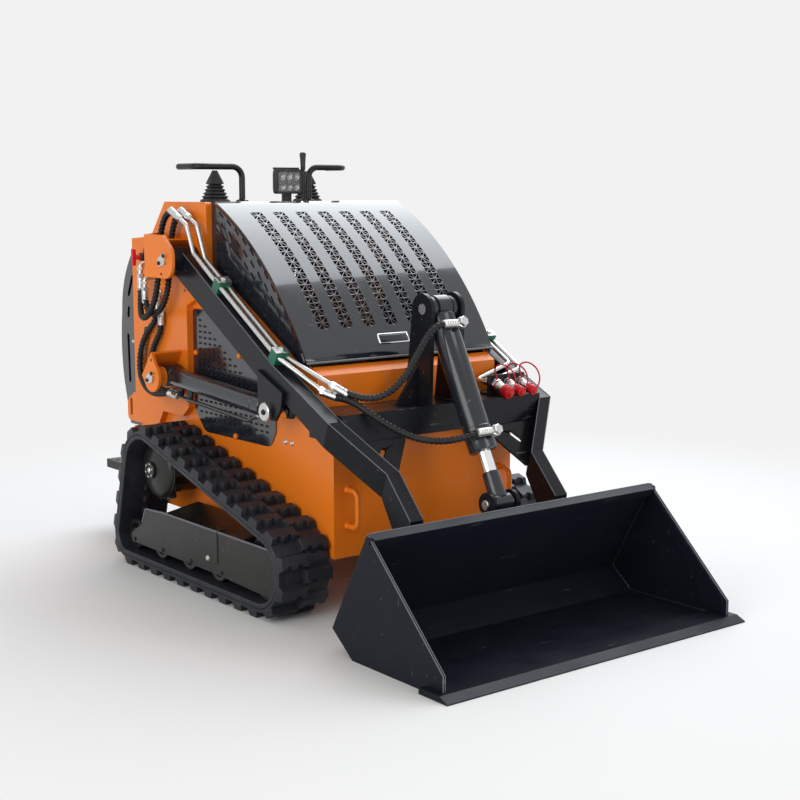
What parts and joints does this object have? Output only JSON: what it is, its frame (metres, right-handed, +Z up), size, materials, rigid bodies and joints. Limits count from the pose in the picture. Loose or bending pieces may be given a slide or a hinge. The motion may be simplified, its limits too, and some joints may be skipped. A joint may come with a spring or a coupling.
{
  "type": "compact track loader",
  "caption": "Stand-on compact loader on rubber tracks, with radial lift arms, hydraulic cylinders, an opening hood and a front bucket.",
  "frame": {"origin": "on the ground, at the bottom centre of the machine's box at rest", "axes": "+X forward, +Y to the machine's left, +Z up"},
  "size_m": [2.2, 1.104, 1.338],
  "materials": {
    "orange_paint": "gloss enamel",
    "dark_paint": "satin gloss enamel",
    "bucket_paint": "satin enamel",
    "black_paint": "satin",
    "frame_paint": "semi-matt",
    "barrel_paint": "gloss enamel",
    "engine_grey": "painted casting",
    "zinc_steel": "zinc plated",
    "chrome": "polished",
    "green_plastic": "moulded",
    "red_plastic": "soft moulded",
    "black_plastic": "moulded",
    "lamp_lens": "clear lens",
    "bellows_rubber": "matt",
    "track_rubber": "moulded rubber",
    "hose_rubber": "spiral wrapped"
  },
  "bodies": {
    "chassis": {"bulkhead_fittings": "zinc_steel", "chassis_pins": "zinc_steel", "control_deck": "dark_paint", "control_gaiters": "bellows_rubber", "drive_sprocket_left": "frame_paint", "drive_sprocket_right": "frame_paint", "engine_block": "engine_grey", "front_and_belly": "orange_paint", "grab_handles": "orange_paint", "hand_lever": "black_plastic", "hand_rests": "black_paint", "isolator_key": "red_plastic", "isolator_switch": "black_plastic", "lift_hoses": "hose_rubber", "loader_tower_left": "orange_paint", "loader_tower_right": "orange_paint", "pivot_hoses": "hose_rubber", "rear_cover": "dark_paint", "side_cheeks": "dark_paint", "side_grilles": "dark_paint", "side_wall_left": "orange_paint", "side_wall_right": "orange_paint", "standing_platform": "black_paint", "tie_down_loops": "orange_paint", "track_belt_left": "track_rubber", "track_belt_right": "track_rubber", "track_frame_left": "frame_paint", "track_frame_right": "frame_paint", "track_wheels_left": "frame_paint", "track_wheels_right": "frame_paint", "work_light": "black_plastic", "work_light_lens": "lamp_lens"},
    "loader_arm": {"lift_arm_left": "dark_paint", "lift_arm_right": "dark_paint", "cross_member": "dark_paint", "arm_pins": "zinc_steel", "arm_tubes": "zinc_steel", "tube_clamps": "green_plastic", "coupler_bracket": "black_paint", "couplers": "zinc_steel", "coupler_caps": "red_plastic", "tilt_hoses": "hose_rubber"},
    "lift_barrel_left": {"lift_barrel_left": "barrel_paint"},
    "lift_barrel_right": {"lift_barrel_right": "barrel_paint"},
    "lift_rod_left": {"lift_rod_left": "chrome"},
    "lift_rod_right": {"lift_rod_right": "chrome"},
    "tilt_barrel": {"tilt_barrel": "barrel_paint"},
    "tilt_rod": {"tilt_rod": "chrome"},
    "bucket": {"bucket_shell": "bucket_paint", "attach_plate": "bucket_paint", "latch_levers": "black_paint"},
    "hood": {"hood_panel": "dark_paint", "hood_latch": "chrome"}
  },
  "joints": [
    {"name": "arm_lift", "type": "hinge", "parent": "chassis", "child": "loader_arm", "pos_m": [-0.38, 0, 1.001], "axis": [0, -1, 0], "range_deg": [0, 80], "deforming": ["pivot_hoses"]},
    {"name": "bucket_tilt", "type": "hinge", "parent": "loader_arm", "child": "bucket", "pos_m": [0.59, 0, 0.195], "axis": [0, 1, 0], "range_deg": [-20, 105]},
    {"name": "tilt_barrel_swing", "type": "hinge", "parent": "loader_arm", "child": "tilt_barrel", "pos_m": [0.395, 0, 0.877], "axis": [0, 1, 0], "range_deg": [-0.43, 2.22], "deforming": ["tilt_hoses"]},
    {"name": "tilt_rod_slide", "type": "slide", "parent": "tilt_barrel", "child": "tilt_rod", "axis": [0.4579, 0, -0.889], "range_m": [-0.049, 0.253]},
    {"name": "lift_barrel_left_swing", "type": "hinge", "parent": "chassis", "child": "lift_barrel_left", "pos_m": [-0.474, 0, 0.624], "axis": [0, -1, 0], "range_deg": [0, 58.5], "deforming": ["lift_hoses"]},
    {"name": "lift_rod_left_slide", "type": "slide", "parent": "lift_barrel_left", "child": "lift_rod_left", "axis": [0.9978, 0, -0.0661], "range_m": [0, 0.397]},
    {"name": "lift_barrel_right_swing", "type": "hinge", "parent": "chassis", "child": "lift_barrel_right", "pos_m": [-0.474, 0, 0.624], "axis": [0, -1, 0], "range_deg": [0, 58.5], "deforming": ["lift_hoses"]},
    {"name": "lift_rod_right_slide", "type": "slide", "parent": "lift_barrel_right", "child": "lift_rod_right", "axis": [0.9978, 0, -0.0661], "range_m": [0, 0.397]},
    {"name": "hood_open", "type": "hinge", "parent": "chassis", "child": "hood", "pos_m": [-0.3, 0, 1.16], "axis": [0, -1, 0], "range_deg": [0, 50]}
  ],
  "couplings": [
    {"joint": "tilt_barrel_swing", "follows": "bucket_tilt", "ratio": 0.021},
    {"joint": "tilt_rod_slide", "follows": "bucket_tilt", "m_per_rad": 0.13766},
    {"joint": "lift_barrel_left_swing", "follows": "arm_lift", "ratio": 0.72237},
    {"joint": "lift_rod_left_slide", "follows": "arm_lift", "m_per_rad": 0.2829},
    {"joint": "lift_barrel_right_swing", "follows": "arm_lift", "ratio": 0.72237},
    {"joint": "lift_rod_right_slide", "follows": "arm_lift", "m_per_rad": 0.2829}
  ]
}
